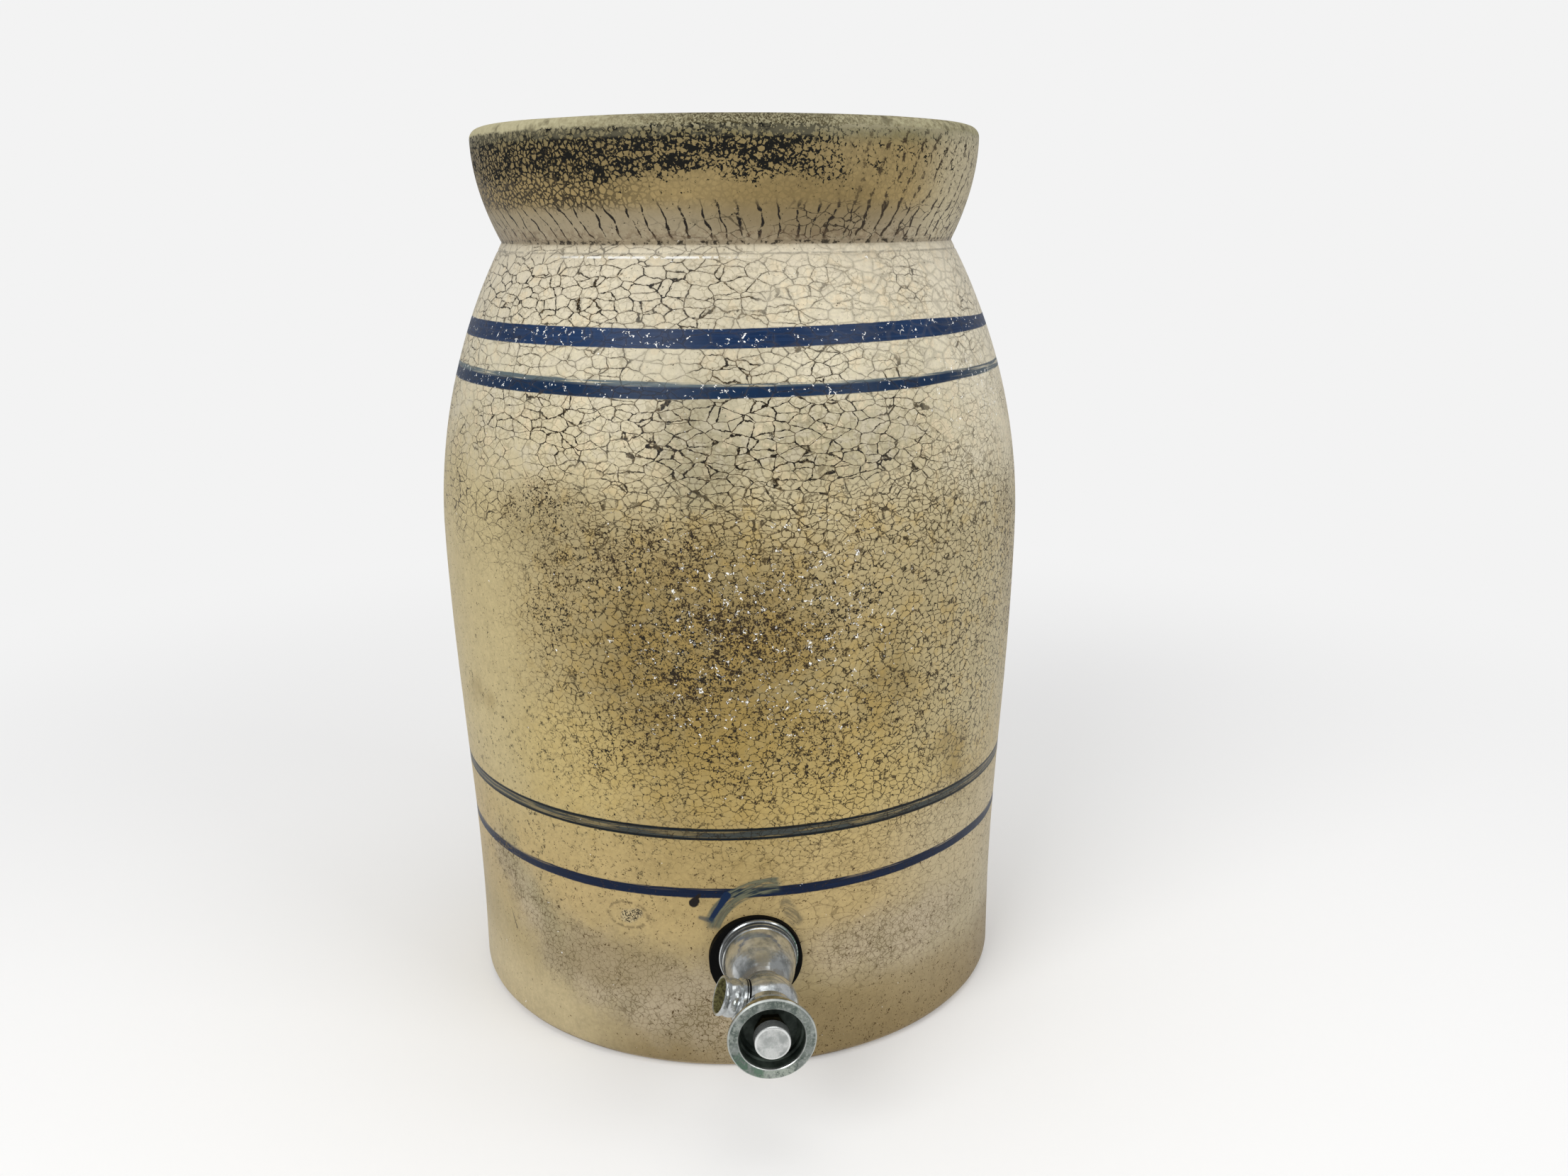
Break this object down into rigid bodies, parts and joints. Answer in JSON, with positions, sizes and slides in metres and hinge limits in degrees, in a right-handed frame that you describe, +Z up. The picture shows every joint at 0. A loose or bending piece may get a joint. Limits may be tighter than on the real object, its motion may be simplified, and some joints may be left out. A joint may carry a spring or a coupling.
{
  "type": "water crock with tap",
  "caption": "Glazed stoneware water crock with an open flared collar and a push-button metal tap low on its front.",
  "frame": {"origin": "centre of the flat base, on the crock's axis", "axes": "+Z up along the crock's axis, the tap faces -Y, +X to the right as seen from the tap's side"},
  "size_m": [0.2728, 0.3356, 0.4],
  "materials": {
    "stoneware": "crazed cream to tan glaze with four blue bands and an unglazed lip",
    "black_rubber": "smooth black rubber",
    "tap_chrome": "worn bright plating with green tarnish in the corners",
    "plain_brass": "unplated turned brass",
    "zinc_steel": "zinc-coated sheet",
    "spring_steel": "drawn stainless wire",
    "packing": "graphited packing"
  },
  "bodies": {
    "crock_body": {"crock": "stoneware", "outer_rubber_washer": "black_rubber", "inner_rubber_washer": "black_rubber"},
    "tap": {"tap_body": "tap_chrome", "backing_washer": "zinc_steel", "lock_nut": "plain_brass", "valve_seat": "plain_brass", "spout_gasket": "black_rubber", "spout": "tap_chrome", "bonnet_gasket": "black_rubber", "guard_cup": "tap_chrome", "stem_packing": "packing", "packing_follower": "plain_brass", "gland_nut": "plain_brass", "return_spring": "spring_steel"},
    "button": {"push_button": "tap_chrome", "valve_stem": "plain_brass", "disc_holder": "plain_brass", "valve_disc": "black_rubber", "disc_nut": "plain_brass"}
  },
  "joints": [
    {"name": "tap_turn", "type": "hinge", "parent": "crock_body", "child": "tap", "pos_m": [0, -0.1297, 0.0575], "axis": [0, -1, 0], "continuous": true},
    {"name": "button_press", "type": "slide", "parent": "tap", "child": "button", "axis": [0, 1, 0], "range_m": [0, 0.0035], "stiffness_N_per_m": 1500, "springref_m": -0.003, "deforming": ["return_spring"]}
  ]
}
